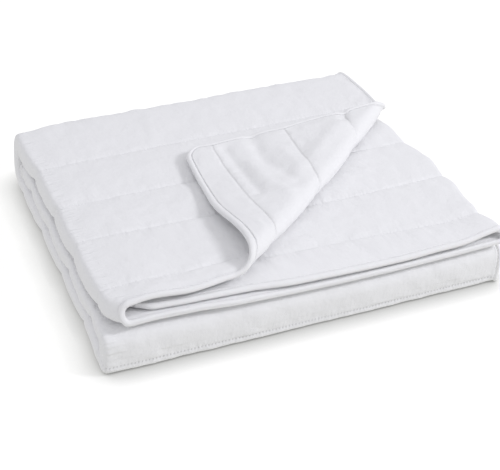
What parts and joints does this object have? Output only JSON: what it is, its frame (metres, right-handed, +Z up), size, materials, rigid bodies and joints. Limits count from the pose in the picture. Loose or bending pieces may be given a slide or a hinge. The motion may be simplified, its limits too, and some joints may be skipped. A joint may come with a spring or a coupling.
{
  "type": "summer duvet",
  "caption": "Thin quilted duvet with a piped edge, folded in three both ways, one corner of the top leaf turned back.",
  "frame": {"origin": "middle of the underside of the folded duvet, on the surface that it lies on", "axes": "+X to the right along the front fold, +Y from the front fold to the back fold, +Z up through the leaves"},
  "size_m": [0.7566, 0.7094, 0.1575],
  "materials": {
    "quilted_cotton": "matt white cotton percale, quilted in straight channels",
    "piping_cotton": "matt white cotton over a round cord"
  },
  "bodies": {
    "root": {"duvet": "quilted_cotton", "edge_piping": "piping_cotton"}
  },
  "joints": []
}
